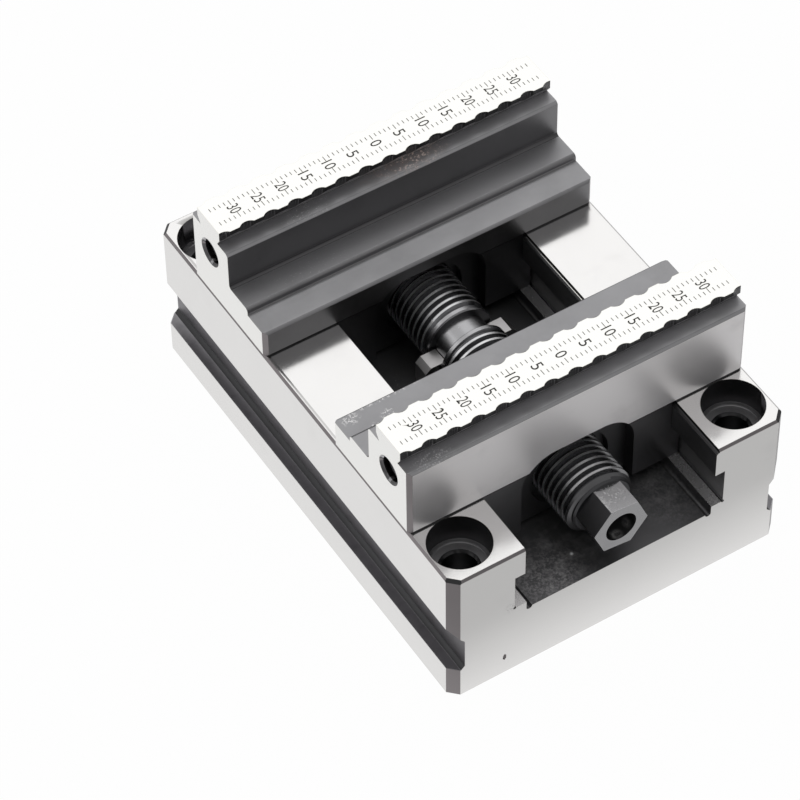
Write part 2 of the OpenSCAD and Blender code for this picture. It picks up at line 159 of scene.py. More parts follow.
def isSlant(value):
    return lean["slanted"] < abs(value) < lean["flat"]


def finishFaces(piece, materials, choose):
    # gives each face the material that choose returns for its centre in mm and its normal
    piece.data.materials.clear()
    for material in materials:
        piece.data.materials.append(material)
    for face in piece.data.polygons:
        face.material_index = materials.index(choose(face.center / mm, face.normal))


def turnedBar(name, stations, sides):
    # a turned bar along Y: each station is a distance along the axis and a radius
    first, second = stations[0], stations[1]
    deselectAll()
    bpy.ops.mesh.primitive_cylinder_add(vertices=sides, radius=first[1] * mm,
        depth=(second[0] - first[0]) * mm, end_fill_type="NGON",
        location=(0, (first[0] + second[0]) / 2 * mm, 0), rotation=(math.radians(90), 0, 0))
    bar = nameNew(name)
    applyPlace(bar)
    editMesh(bar)
    radius = first[1]
    place = second[0]

    def isCap(face):
        onAxis = math.hypot(face.center.x, face.center.z) < 10 * tiny
        return onAxis and abs(face.center.y - place * mm) < tiny

    for along, nextRadius in stations[1:]:
        selectFaces(bar, isCap)
        if along != place:
            bpy.ops.mesh.extrude_region_move(TRANSFORM_OT_translate={"value": (0, (along - place) * mm, 0)})
        if nextRadius != radius:
            share = nextRadius / radius
            if along == place:
                bpy.ops.mesh.extrude_region_move(TRANSFORM_OT_translate={"value": (0, 0, 0)})
            bpy.ops.transform.resize(value=(share, 1, share), center_override=(0, along * mm, 0))
        place, radius = along, nextRadius
    leaveEdit()
    return bar


# Camera at the photograph's angle

viewFrom = {
    "azimuth": -31.555,     # degrees, 0 looks along +Y
    "elevation": 49.654,
    "roll": -0.95,
    "distance": 721.818,    # mm
    "aside": -12.0,         # mm, to the camera's right
    "above": -14.665,       # mm, along the camera's up
    "railHeight": 32.4,     # mm, the height that the camera was measured from
    "focalPixels": 3976.97,
    "framePixels": 800,
    "sensor": 36,           # mm
    "clip": (0.01, 20),     # m
}


def makeCamera():
    v = viewFrom
    turn = math.radians(v["azimuth"])
    tilt = math.radians(v["elevation"])
    roll = math.radians(v["roll"])
    back = Vector((math.sin(turn) * math.cos(tilt), -math.cos(turn) * math.cos(tilt), math.sin(tilt)))
    level = Vector((0, 0, 1)).cross(back).normalized()
    upright = back.cross(level)
    right = level * math.cos(roll) + upright * math.sin(roll)
    up = upright * math.cos(roll) - level * math.sin(roll)
    place = back * v["distance"] + right * v["aside"] + up * v["above"] + Vector((0, 0, v["railHeight"]))
    bpy.ops.object.camera_add()
    camera = bpy.context.object
    camera.name = "viewCamera"
    camera.matrix_world = Matrix((
        (right.x, up.x, back.x, place.x * mm),
        (right.y, up.y, back.y, place.y * mm),
        (right.z, up.z, back.z, place.z * mm),
        (0, 0, 0, 1)))
    camera.data.sensor_width = v["sensor"]
    camera.data.lens = v["focalPixels"] * v["sensor"] / v["framePixels"]
    camera.data.clip_start, camera.data.clip_end = v["clip"]
    bpy.context.scene.camera = camera


makeCamera()
print("camera placed")


# Shader building blocks

effects = {
    "lineScale": 9000,          # grinding lines
    "sheenScale": 60,           # slow change in gloss
    "sheenRange": (0.3, 0.7),   # noise values that give the least and the most roughness
    "stainTop": 0.8,            # noise value at which a stain is full
    "speckTop": 0.85,
    "edgeRange": (0.995, 0.8),  # agreement with the rounded normal at an edge's border and on the edge
    "spotRange": (1.0, 0.3),    # a spot fades in between these shares of its reach
    "spotMetallic": 0.1,
    "bumpDepth": 0.02,          # mm
}


def newGroup(name, inputs, outputs):
    group = bpy.data.node_groups.new(name, "ShaderNodeTree")
    for label, kind, value in inputs:
        socket = group.interface.new_socket(name=label, in_out="INPUT", socket_type=kind)
        socket.default_value = value
    for label, kind in outputs:
        group.interface.new_socket(name=label, in_out="OUTPUT", socket_type=kind)
    start = group.nodes.new("NodeGroupInput")
    end = group.nodes.new("NodeGroupOutput")
    return group, start, end


def addNode(tree, kind, settings=None, values=None):
    node = tree.nodes.new(kind)
    for key, value in (settings or {}).items():
        setattr(node, key, value)
    for key, value in (values or {}).items():
        node.inputs[key].default_value = value
    return node


def wire(tree, source, target):
    tree.links.new(source, target)


def stretchedNoise(tree, stretchSocket, scale, detail=3, roughness=0.6):
    coords = addNode(tree, "ShaderNodeTexCoord")
    stretch = addNode(tree, "ShaderNodeVectorMath", {"operation": "MULTIPLY"})
    noise = addNode(tree, "ShaderNodeTexNoise", values={
        "Scale": scale, "Detail": detail, "Roughness": roughness})
    wire(tree, coords.outputs["Object"], stretch.inputs[0])
    if stretchSocket is not None:
        wire(tree, stretchSocket, stretch.inputs[1])
    else:
        stretch.inputs[1].default_value = (1, 1, 1)
    wire(tree, stretch.outputs[0], noise.inputs["Vector"])
    return noise


def remap(tree, source, low, high, toLow=0.0, toHigh=1.0):
    node = addNode(tree, "ShaderNodeMapRange", values={
        "From Min": low, "From Max": high, "To Min": toLow, "To Max": toHigh})
    wire(tree, source, node.inputs["Value"])
    return node.outputs["Result"]


def makeGrindGroup():
    # fine parallel lines left by the grinding wheel, and the slow change in gloss under them
    group, start, end = newGroup("grindingLines",
        [("Stretch", "NodeSocketVector", (1, 1, 1))],
        [("Lines", "NodeSocketFloat"), ("Sheen", "NodeSocketFloat")])
    fine = stretchedNoise(group, start.outputs["Stretch"], effects["lineScale"], 4, 0.7)
    slow = stretchedNoise(group, None, effects["sheenScale"], 8, 0.75)
    wire(group, fine.outputs["Fac"], end.inputs["Lines"])
    wire(group, slow.outputs["Fac"], end.inputs["Sheen"])
    return group


def makeStainGroup():
    # soft cloudy marks, from oil and handling
    group, start, end = newGroup("handlingStains",
        [("Size", "NodeSocketFloat", 90.0), ("Spread", "NodeSocketFloat", 0.55)],
        [("Stain", "NodeSocketFloat")])
    noise = stretchedNoise(group, None, 1, 4, 0.6)
    wire(group, start.outputs["Size"], noise.inputs["Scale"])
    edge = addNode(group, "ShaderNodeMapRange", {"interpolation_type": "SMOOTHSTEP"}, {
        "From Max": effects["stainTop"], "To Min": 0.0, "To Max": 1.0})
    wire(group, noise.outputs["Fac"], edge.inputs["Value"])
    wire(group, start.outputs["Spread"], edge.inputs["From Min"])
    wire(group, edge.outputs["Result"], end.inputs["Stain"])
    return group


def makeEdgeGroup():
    # how near a sharp edge is, for a band of edge colour: a darker line on most finishes, a painted
    # highlight where the edge colour is lighter
    group, start, end = newGroup("edgeLineAndHighlight",
        [("Width", "NodeSocketFloat", 0.3 * mm)],
        [("Edge", "NodeSocketFloat")])
    rounded = addNode(group, "ShaderNodeBevel", {"samples": 4})
    geometry = addNode(group, "ShaderNodeNewGeometry")
    agree = addNode(group, "ShaderNodeVectorMath", {"operation": "DOT_PRODUCT"})
    wire(group, start.outputs["Width"], rounded.inputs["Radius"])
    wire(group, rounded.outputs["Normal"], agree.inputs[0])
    wire(group, geometry.outputs["True Normal"], agree.inputs[1])
    wire(group, remap(group, agree.outputs["Value"], *effects["edgeRange"]), end.inputs["Edge"])
    return group


def makeSpeckGroup():
    # small sparse specks, for burrs, dust and bright chips
    group, start, end = newGroup("sparseSpecks",
        [("Size", "NodeSocketFloat", 2500.0), ("Cover", "NodeSocketFloat", 0.7)],
        [("Speck", "NodeSocketFloat")])
    noise = stretchedNoise(group, None, 1, 2, 0.7)
    wire(group, start.outputs["Size"], noise.inputs["Scale"])
    edge = addNode(group, "ShaderNodeMapRange", values={
        "From Max": effects["speckTop"], "To Min": 0.0, "To Max": 1.0})
    wire(group, noise.outputs["Fac"], edge.inputs["Value"])
    wire(group, start.outputs["Cover"], edge.inputs["From Min"])
    wire(group, edge.outputs["Result"], end.inputs["Speck"])
    return group


def makeSpotGroup():
    # specks and smudges round one place
    group, start, end = newGroup("localSpots",
        [("Centre", "NodeSocketVector", (0, 0, 0)), ("Reach", "NodeSocketVector", (0.003, 0.003, 0.003)),
            ("Size", "NodeSocketFloat", 1500.0), ("Cover", "NodeSocketFloat", 0.5),
            ("Crisp", "NodeSocketFloat", 0.1)],
        [("Spot", "NodeSocketFloat")])
    coords = addNode(group, "ShaderNodeTexCoord")
    away = addNode(group, "ShaderNodeVectorMath", {"operation": "SUBTRACT"})
    share = addNode(group, "ShaderNodeVectorMath", {"operation": "DIVIDE"})
    length = addNode(group, "ShaderNodeVectorMath", {"operation": "LENGTH"})
    wire(group, coords.outputs["Object"], away.inputs[0])
    wire(group, start.outputs["Centre"], away.inputs[1])
    wire(group, away.outputs[0], share.inputs[0])
    wire(group, start.outputs["Reach"], share.inputs[1])
    wire(group, share.outputs[0], length.inputs[0])
    near = remap(group, length.outputs["Value"], *effects["spotRange"])
    noise = stretchedNoise(group, None, 1, 4, 0.7)
    wire(group, start.outputs["Size"], noise.inputs["Scale"])
    top = addNode(group, "ShaderNodeMath", {"operation": "ADD"})
    wire(group, start.outputs["Cover"], top.inputs[0])
    wire(group, start.outputs["Crisp"], top.inputs[1])
    speck = addNode(group, "ShaderNodeMapRange")
    wire(group, noise.outputs["Fac"], speck.inputs["Value"])
    wire(group, start.outputs["Cover"], speck.inputs["From Min"])
    wire(group, top.outputs[0], speck.inputs["From Max"])
    both = addNode(group, "ShaderNodeMath", {"operation": "MULTIPLY"})
    wire(group, near, both.inputs[0])
    wire(group, speck.outputs["Result"], both.inputs[1])
    wire(group, both.outputs[0], end.inputs["Spot"])
    return group


grindingLines = makeGrindGroup()
handlingStains = makeStainGroup()
edgeLineAndHighlight = makeEdgeGroup()
sparseSpecks = makeSpeckGroup()
localSpots = makeSpotGroup()


def useGroup(tree, group, values=None):
    node = tree.nodes.new("ShaderNodeGroup")
    node.node_tree = group
    for key, value in (values or {}).items():
        node.inputs[key].default_value = value
    return node


def mixColour(tree, factor, first, second):
    node = addNode(tree, "ShaderNodeMix", {"data_type": "RGBA"})
    wire(tree, factor, node.inputs["Factor"])
    for socket, colour in ((node.inputs["A"], first), (node.inputs["B"], second)):
        if isinstance(colour, tuple):
            socket.default_value = (*colour, 1)
        else:
            wire(tree, colour, socket)
    return node.outputs["Result"]


def scaled(tree, source, factor):
    node = addNode(tree, "ShaderNodeMath", {"operation": "MULTIPLY"}, {1: factor})
    wire(tree, source, node.inputs[0])
    return node.outputs[0]


def newMaterial(name, metallic, slotColour):
    material = bpy.data.materials.new(name)
    material.use_nodes = True
    material.diffuse_color = (*slotColour, 1)
    tree = material.node_tree
    shader = tree.nodes["Principled BSDF"]
    shader.inputs["Metallic"].default_value = metallic
    return material, tree, shader


def machinedMetal(name, look):
    # ground or turned metal: base colour, stains, an edge band that is a darker line on most finishes and a
    # painted highlight on a few, grain in roughness and bump
    material, tree, shader = newMaterial(name, look["metallic"], look["colour"])
    grind = useGroup(tree, grindingLines, {"Stretch": look["grain"]})
    stain = useGroup(tree, handlingStains, {"Size": look["stainSize"], "Spread": look["stainSpread"]})
    edge = useGroup(tree, edgeLineAndHighlight, {"Width": look["edgeWidth"]})
    speck = useGroup(tree, sparseSpecks, {"Size": look["speckSize"], "Cover": look["speckCover"]})
    stained = mixColour(tree, scaled(tree, stain.outputs["Stain"], look["stainDepth"]),
        look["colour"], look["stainColour"])
    specked = mixColour(tree, scaled(tree, speck.outputs["Speck"], look["speckDepth"]),
        stained, look["speckColour"])
    # the edge band is a painted highlight where edgeColour is lighter than colour
    edged = mixColour(tree, scaled(tree, edge.outputs["Edge"], look["edgeDepth"]),
        specked, look["edgeColour"])
    matte = None
    for spot in look["spots"]:
        mask = useGroup(tree, localSpots, {
            "Centre": [value * mm for value in spot["centre"]],
            "Reach": [value * mm for value in spot["reach"]],
            "Size": spot["size"], "Cover": spot["cover"], "Crisp": spot["crisp"]})
        strength = scaled(tree, mask.outputs["Spot"], spot["depth"])
        edged = mixColour(tree, strength, edged, spot["colour"])
        if matte is None:
            matte = strength
            continue
        both = addNode(tree, "ShaderNodeMath", {"operation": "MAXIMUM"})
        wire(tree, matte, both.inputs[0])
        wire(tree, strength, both.inputs[1])
        matte = both.outputs[0]
    if matte is not None:
        wire(tree, remap(tree, matte, 0.0, 1.0, look["metallic"], effects["spotMetallic"]),
            shader.inputs["Metallic"])
    wire(tree, edged, shader.inputs["Base Color"])
    low, high = look["rough"]
    wire(tree, remap(tree, grind.outputs["Sheen"], *effects["sheenRange"], low, high),
        shader.inputs["Roughness"])
    bump = addNode(tree, "ShaderNodeBump", values={
        "Strength": look["bump"], "Distance": effects["bumpDepth"] * mm})
    wire(tree, grind.outputs["Lines"], bump.inputs["Height"])
    wire(tree, bump.outputs["Normal"], shader.inputs["Normal"])
    return material


plainLook = {
    "metallic": 1.0, "colour": (0.86, 0.85, 0.84), "grain": (1, 0.04, 1),
    "stainSize": 90.0, "stainSpread": 0.55, "stainDepth": 0.15, "stainColour": (0.62, 0.6, 0.6),
    "edgeWidth": 0.2 * mm, "edgeDepth": 0.35, "edgeColour": (0.4, 0.38, 0.3),
    "speckSize": 2500.0, "speckCover": 0.72, "speckDepth": 0.1, "speckColour": (0.9, 0.9, 0.88),
    "rough": (0.14, 0.2), "bump": 0.04, "spots": [],
}
blackLook = {**plainLook,
    "colour": (0.3, 0.297, 0.307), "grain": (0.05, 1, 1),
    "stainColour": (0.23, 0.228, 0.235), "stainDepth": 0.6, "stainSpread": 0.45, "rough": (0.32, 0.42),
    "edgeColour": (0.05, 0.05, 0.05), "edgeDepth": 0.4,
    "speckColour": (0.5, 0.5, 0.5), "speckDepth": 0.15, "speckCover": 0.68,
}
dust = {"size": 1900.0, "cover": 0.45, "crisp": 0.22, "depth": 0.5, "colour": (0.75, 0.73, 0.74)}
smudge = {**dust, "size": 420.0, "cover": 0.46, "crisp": 0.2, "depth": 0.3}
chips = {"size": 2600.0, "cover": 0.6, "crisp": 0.04, "depth": 0.9, "colour": (0.85, 0.85, 0.85)}
burrs = {**chips, "size": 1500.0, "cover": 0.5, "crisp": 0.03, "depth": 1.0, "colour": (0.97, 0.96, 0.96)}
channelDust = [
    {**dust, "centre": (-13, -46, 15.6), "reach": (10, 10, 2), "depth": 0.55},
    {**smudge, "centre": (-10, -44, 15.6), "reach": (11, 12, 2)},
    {**smudge, "centre": (15, -40, 15.6), "reach": (9, 12, 2), "depth": 0.18},
    {**dust, "centre": (16, -41, 16.2), "reach": (8, 11, 3), "depth": 0.25},
    {**dust, "centre": (-21.2, -49.6, 17.3), "reach": (2, 2, 2.4), "cover": 0.35, "depth": 0.8,
        "colour": (0.3, 0.27, 0.26)},
    {**chips, "centre": (13, -38.5, 15.6), "reach": (4, 1.2, 1), "depth": 0.4},
    {**chips, "centre": (-6.4, -44.5, 15.6), "reach": (0.45, 0.45, 0.45), "cover": 0.0, "depth": 1.0,
        "colour": (1.0, 1.0, 1.0)},
    {**chips, "centre": (-14, 6, 15.6), "reach": (7, 7, 2), "cover": 0.62, "depth": 0.5},
    {**smudge, "centre": (-13, -2, 15.6), "reach": (6, 12, 2), "depth": 0.1},
]
rust = {"size": 900.0, "cover": 0.42, "crisp": 0.3, "depth": 0.4, "colour": (0.4, 0.26, 0.2)}
rearJawRust = [
    {**rust, "centre": (3, 26, 49), "reach": (11, 3, 4)},
    {**chips, "centre": (5, 26.2, 49.2), "reach": (9, 3, 4), "size": 1700.0, "cover": 0.56,
        "colour": (0.9, 0.76, 0.7)},
    {**chips, "centre": (-18, 25.5, 49), "reach": (7, 3, 4), "cover": 0.6, "depth": 0.7},
    {**chips, "centre": (-22, 19.5, 40.1), "reach": (12, 3, 1.5), "cover": 0.63, "depth": 0.6},
]
frontJawBurrs = [
    {**chips, "centre": (-30, -35.6, 48.8), "reach": (5, 2.4, 3), "cover": 0.56, "depth": 0.7},
    {**burrs, "centre": (-32.8, -13.3, 38.6), "reach": (2.2, 1.6, 1.5), "cover": 0.52},
    {**burrs, "centre": (-26.5, -15.6, 38.6), "reach": (1.8, 1.2, 1.5), "cover": 0.54},
    {**burrs, "centre": (-30, -16.9, 38.6), "reach": (1.6, 1.0, 1.5), "cover": 0.52},
    {**burrs, "centre": (-26, -12, 38.4), "reach": (10, 0.9, 0.9), "cover": 0.54},
]
faceMarks = [
    {**chips, "centre": (-23.2, -50.25, 18), "reach": (1.5, 1, 1.8), "cover": 0.5, "crisp": 0.1,
        "depth": 0.45, "colour": (0.42, 0.4, 0.4)},
]

bodySteel = machinedMetal("groundBodySteel", {**plainLook, "rough": (0.12, 0.23), "spots": faceMarks})
jawSteel = machinedMetal("groundJawSteel", {**plainLook,
    "colour": (0.95, 0.945, 0.925), "grain": (0.04, 1, 1), "stainDepth": 0.08,
    "edgeColour": (0.6, 0.57, 0.36)})
jawFaceSteel = machinedMetal("groundJawFaceSteel", {**plainLook,
    "metallic": 0.72, "colour": (0.93, 0.91, 0.915), "grain": (0.04, 1, 1), "rough": (0.34, 0.42),
    "stainDepth": 0.3, "edgeDepth": 0.6, "edgeColour": (0.2, 0.19, 0.19)})
shelfBlack = {"colour": (0.4, 0.397, 0.408), "stainColour": (0.33, 0.328, 0.335), "rough": (0.4, 0.52)}
seatSteel = machinedMetal("darkSeatSteel", {**blackLook,
    "colour": (0.45, 0.446, 0.454), "stainColour": (0.34, 0.336, 0.342), "stainSize": 500.0,
    "rough": (0.38, 0.46), "edgeDepth": 0.0})
# painted shade: a near-black copy of the black oxide for the counterbores' walls
counterboreShade = machinedMetal("counterboreWallPaintedShade", {**blackLook,
    "colour": (0.1, 0.098, 0.103), "stainColour": (0.08, 0.079, 0.081),
    "grain": (1, 1, 0.05), "rough": (0.34, 0.46), "edgeDepth": 0.0})
# painted shade: a darker copy of the steel for the slants on the body's top edges and corners, the jaws'
# standing corners and the nick
chamferShade = machinedMetal("paintedShadeChamferSteel", {**blackLook,
    "colour": (0.26, 0.24, 0.245), "stainColour": (0.2, 0.185, 0.19), "grain": (1, 1, 0.05),
    "edgeDepth": 0.2})
darkLook = {**blackLook, "colour": (0.18, 0.179, 0.184), "stainColour": (0.13, 0.13, 0.133)}
blackSteel = machinedMetal("blackOxideSteel", {**darkLook, "colour": (0.145, 0.144, 0.149),
    "stainColour": (0.11, 0.11, 0.113)})
# the grooves' black oxide, with a painted highlight along its edges from the light edgeColour
holeBlack = machinedMetal("grooveBlackOxide", {**blackLook,
    "colour": (0.24, 0.233, 0.245), "stainColour": (0.14, 0.136, 0.143), "stainSize": 400.0,
    "stainDepth": 0.5, "grain": (1, 0.05, 1), "rough": (0.36, 0.5),
    "edgeColour": (0.9, 0.9, 0.93), "edgeDepth": 0.7, "edgeWidth": 0.25 * mm})
# painted shade: a near-black copy of the black oxide for the coves at the jaws' walls and the front of the
# rail's step floor
creaseShade = machinedMetal("creaseOxideWithPaintedShade", {**darkLook, "colour": (0.12, 0.118, 0.122),
    "stainColour": (0.09, 0.09, 0.092), "edgeDepth": 0.0})
# painted shade: a darker copy of the black oxide for the rounded steps between the jaws' shelves
stepShade = machinedMetal("stepOxideWithPaintedShade", {**darkLook, "colour": (0.27, 0.267, 0.274),
    "stainColour": (0.2, 0.198, 0.204), "rough": (0.42, 0.52), "edgeDepth": 0.0})
# painted shade: the thrust washers sit deep beside the lands, and their shade is painted in as near-black
washerShade = machinedMetal("washerPaintedShade", {**darkLook, "colour": (0.035, 0.035, 0.037),
    "stainColour": (0.03, 0.03, 0.03), "edgeDepth": 0.0})
channelBlack = machinedMetal("channelBlackOxide", {**darkLook, "colour": (0.2, 0.199, 0.205),
    "stainColour": (0.15, 0.149, 0.154), "grain": (1, 0.05, 1), "rough": (0.4, 0.52), "spots": channelDust})
ledgeSteel = machinedMetal("groundLedgeSteel", {**plainLook,
    "metallic": 0.8, "colour": (0.9, 0.89, 0.89), "rough": (0.24, 0.32),
    "speckCover": 0.6, "speckDepth": 0.6, "speckColour": (0.3, 0.29, 0.28)})
# painted shade: a near-black copy of the black oxide inside the through holes and the jaws' tapped threads
boreShade = machinedMetal("boreOxideWithPaintedShade", {**darkLook, "colour": (0.12, 0.118, 0.124),
    "grain": (1, 1, 0.05), "edgeDepth": 0.0})
# painted shade: the darkest copy of the black oxide, for the scalloped lip, the holes' mouths, the grooves'
# upward slants, the rail step's sides, the corner-top slants and the jaws' cut slants
lipShade = machinedMetal("lipOxideWithPaintedShade", {**darkLook, "colour": (0.068, 0.068, 0.07),
    "stainColour": (0.05, 0.05, 0.05), "rough": (0.4, 0.5), "edgeDepth": 0.0})
rearJawBlack = machinedMetal("rearJawBlackOxide", {**blackLook, **shelfBlack, "spots": rearJawRust})
frontJawBlack = machinedMetal("frontJawBlackOxide", {**blackLook, **shelfBlack, "spots": frontJawBurrs})
# painted sheen: faces that hang down get a lighter copy of the black oxide than the shelves, standing in
# for reflected light; its spots are real rust and chips
undersideSheenAndRust = machinedMetal("jawUndersideRustAndPaintedSheen", {**blackLook,
    "colour": (0.6, 0.595, 0.605), "stainColour": (0.4, 0.39, 0.39), "stainSize": 500.0,
    "edgeDepth": 0.0, "spots": rearJawRust + frontJawBurrs[:1]})
# painted shade: a darker copy of the shelves' black oxide for the jaws' upright walls
wallShade = machinedMetal("jawWallOxideWithPaintedShade", {**blackLook,
    "colour": (0.22, 0.218, 0.224), "stainColour": (0.16, 0.158, 0.163)})
# the thread's dark steel, with a painted highlight along its edges from the light edgeColour
spindleSteel = machinedMetal("turnedSpindleSteel", {**blackLook,
    "colour": (0.34, 0.34, 0.348), "grain": (1, 0.05, 1), "rough": (0.2, 0.28),
    "edgeColour": (0.6, 0.6, 0.6), "edgeDepth": 0.5, "edgeWidth": 0.12 * mm})
# painted shade: a near-black copy of the spindle steel for the thread's root, the end cap, the lands'
# upright faces and the hex facets facing -X
rootShade = machinedMetal("rootPaintedShade", {**darkLook, "colour": (0.1, 0.1, 0.104), "edgeDepth": 0.0})
# lighter steel of the hex, neck and lands, with a painted highlight along its edges from the light
# edgeColour
hexSteel = machinedMetal("millHexSteel", {**blackLook,
    "colour": (0.46, 0.458, 0.468), "stainColour": (0.36, 0.358, 0.366), "grain": (1, 0.2, 1),
    "rough": (0.22, 0.3), "edgeColour": (0.6, 0.6, 0.6), "edgeDepth": 0.4,
    "spots": [{**chips, "centre": (0.5, -46.5, 30.2), "reach": (4, 3.2, 1.2), "cover": 0.56, "depth": 0.8},
        {**chips, "centre": (-2.4, -47.5, 30), "reach": (1.2, 2.6, 1.2), "cover": 0.45, "depth": 0.7}]})
# painted highlight: a light, less metallic copy of the spindle steel that makes the thread's crests show as
# bright lines
crestHighlight = machinedMetal("crestPaintedHighlight", {**blackLook, "metallic": 0.9,
    "colour": (0.76, 0.76, 0.77), "stainColour": (0.36, 0.36, 0.36), "stainSize": 400.0, "stainDepth": 0.5,
    "grain": (1, 0.2, 1), "rough": (0.25, 0.35), "edgeDepth": 0.0})
brightSteel = machinedMetal("brightGroundSteel", {**plainLook,
    "colour": (0.5, 0.49, 0.49), "grain": (0.2, 1, 0.2), "rough": (0.3, 0.4), "stainDepth": 0.3})
# dark steel of the nuts; on the spindle it is painted shade inside the hex hole and on the thread's end
# slant
nutAndPaintedLightSteel = machinedMetal("darkNutAndPaintedLightSteel", {**darkLook,
    # the two spots, built from smudge, paint a light patch inside the hex hole
    "spots": [
        {**smudge, "centre": (-0.3, -49.2, 21.8), "reach": (1.5, 1.5, 1), "size": 1400.0,
            "cover": 0.36, "crisp": 0.25, "depth": 0.9, "colour": (0.7, 0.69, 0.68)},
        {**smudge, "centre": (2.3, -48.6, 22.9), "reach": (0.9, 1.4, 1.1), "size": 1400.0,
            "cover": 0.38, "crisp": 0.25, "depth": 0.6, "colour": (0.6, 0.59, 0.58)}]})
screwSteel = machinedMetal("blackScrewSteel", {**darkLook, "rough": (0.35, 0.5)})
pinSteel = machinedMetal("groundPinSteel", {**plainLook, "colour": (0.7, 0.7, 0.7)})
markLook = {**plainLook, "metallic": 0.2, "colour": (0.07, 0.07, 0.07), "stainColour": (0.2, 0.2, 0.2),
    "stainDepth": 0.5, "rough": (0.5, 0.7), "edgeDepth": 0.0}
markFill = machinedMetal("darkMarkFill", markLook)
lineFill = machinedMetal("greyLineFill", {**markLook,
    "colour": (0.2, 0.2, 0.2), "stainColour": (0.36, 0.36, 0.36)})

nodeMaterials = {
    "centre_yoke": brightSteel,
    "yoke_screws": screwSteel,
    "yoke_lock_washers": pinSteel,
    "yoke_dowels": pinSteel,
    "front_carriage": blackSteel,
    "rear_carriage": blackSteel,
    "front_nut": nutAndPaintedLightSteel,
    "rear_nut": nutAndPaintedLightSteel,
    "front_nut_lock_screw": screwSteel,
    "rear_nut_lock_screw": screwSteel,
    "front_jaw_screws": screwSteel,
    "rear_jaw_screws": screwSteel,
    "front_jaw_dowels": pinSteel,
    "rear_jaw_dowels": pinSteel,
    # the thrust washers carry painted shade
    "front_thrust_washer": washerShade,
    "rear_thrust_washer": washerShade,
}
for nodeName, material in nodeMaterials.items():
    mesh = nodes[nodeName].data
    if not mesh.materials:
        mesh.materials.append(material)
    for index in range(len(mesh.materials)):
        mesh.materials[index] = material
print("finishes set on the carried-over solids")


# Body: ground outside and on the rails, black inside, with painted shade in its holes and on its slants

body = {
    "sideX": 35.5,           # mm
    "endY": 50.25,
    "railZ": 32.4,
    "seatZ": 25.7,           # floor of the counterbores
    "ledgeZ": 17.3,          # ledges beside the channel floor
    "slotX": 20.2,
    "slotStep": (0.62, 0.65),  # width and depth of the bright step along the right rail
    "slotSlant": 0.34,       # slant below the step, painted in shade
    "slotShine": -25.0,      # the step's floor is painted in shade in front of this place and bright behind it
    "hole": (29.0, 42.75),   # mounting holes, from the middle
    "headRadius": 6.0,
    "seatRadius": 5.8,       # the wall stands outside it
    "mouthCut": 0.6,         # height of the through hole's mouth
    "channelX": 22.6,
    "grooveX": 30.0,         # the outer grooves lie outside it
    "cornerCut": 1.85,       # standing corners
    "cornerTop": 0.6,        # slant on top of them, painted in shade
    "flat": 0.02,            # a face this near a plane lies in it
    "rimX": 33.0,            # slants outside it, or this near an end, are edge slants
    "rimEnd": 2.0,
    "rimHeight": 1.0,
    "nickPlace": (-24.3, 4.4),
    "nickSize": (0.85, 1.7),  # width and height
    "nickDepth": 0.35,
}


def bodyFinish(centre, normal):
    b = body
    flat = b["flat"]
    if abs(centre.x) > b["sideX"] - flat or abs(centre.y) > b["endY"] - flat:
        return bodySteel
    if centre.z > b["railZ"] - flat or centre.z < flat:
        return bodySteel
    fromHole = math.hypot(abs(centre.x) - b["hole"][0], abs(centre.y) - b["hole"][1])
    # painted shade in the holes: near-black mouth, bore and counterbore wall
    if fromHole < b["headRadius"]:
        if centre.z < b["seatZ"] - flat:
            return lipShade if centre.z > b["seatZ"] - b["mouthCut"] else boreShade
        return seatSteel if fromHole < b["seatRadius"] else counterboreShade
    if abs(centre.z - b["ledgeZ"]) < flat and normal.z > lean["flat"]:
        return ledgeSteel
    outside = abs(centre.x) > b["rimX"] or abs(centre.y) > b["endY"] - b["rimEnd"]
    topSlant = isSlant(normal.z) and centre.z > b["railZ"] - b["rimHeight"]
    cornerSlant = abs(normal.z) < lean["upright"] and isSlant(normal.x) and outside
    # painted light on the top slants: the lighter yoke steel on those that face +X, painted shade on the
    # rest and on the corner slants
    if topSlant and normal.x > lean["slanted"]:
        return brightSteel
    if topSlant or cornerSlant:
        return chamferShade
    if abs(centre.x) > b["channelX"]:
        # painted shade on the grooves' upward slants
        if isSlant(normal.z) and normal.z > 0:
            return lipShade
        return holeBlack if abs(centre.x) > b["grooveX"] else channelBlack
    return channelBlack


def makeNick():
    # a small chip on the front face, its inside painted in shade
    b = body
    deselectAll()
    bpy.ops.mesh.primitive_ico_sphere_add(subdivisions=1, radius=0.5, location=(
        b["nickPlace"][0] * mm, -b["endY"] * mm, b["nickPlace"][1] * mm),
        scale=(b["nickSize"][0] * mm, 2 * b["nickDepth"] * mm, b["nickSize"][1] * mm))
    nick = nameNew("nick")
    applyPlace(nick)
    nick.data.materials.append(chamferShade)
    return nick


def makeSlotStep():
    # a narrow step along the right rail's inner edge, with painted shade on its upright side and the slant
    # below it, and painted shade on its floor in front; behind, the floor keeps the ground steel and shows
    # bright
    b = body
    width, depth = b["slotStep"]
    past = b["endY"] + 10
    cutters = []
    for low, high, floor in ((-past, b["slotShine"], creaseShade), (b["slotShine"], past, bodySteel)):
        step = addCutter("slotStep", (b["slotX"], (low + high) / 2, b["railZ"]),
            (2 * width, high - low, 2 * depth), lipShade)
        finishFaces(step, [lipShade, floor],
            lambda centre, normal: floor if abs(normal.z) > lean["flat"] else lipShade)
        cutters.append(step)
    side = b["slotSlant"] * math.sqrt(2)
    cutters.append(addCutter("slotSlant", (b["slotX"], 0, b["railZ"] - depth),
        (side, 3 * b["endY"], side), lipShade, (0, 45, 0)))
    return cutters


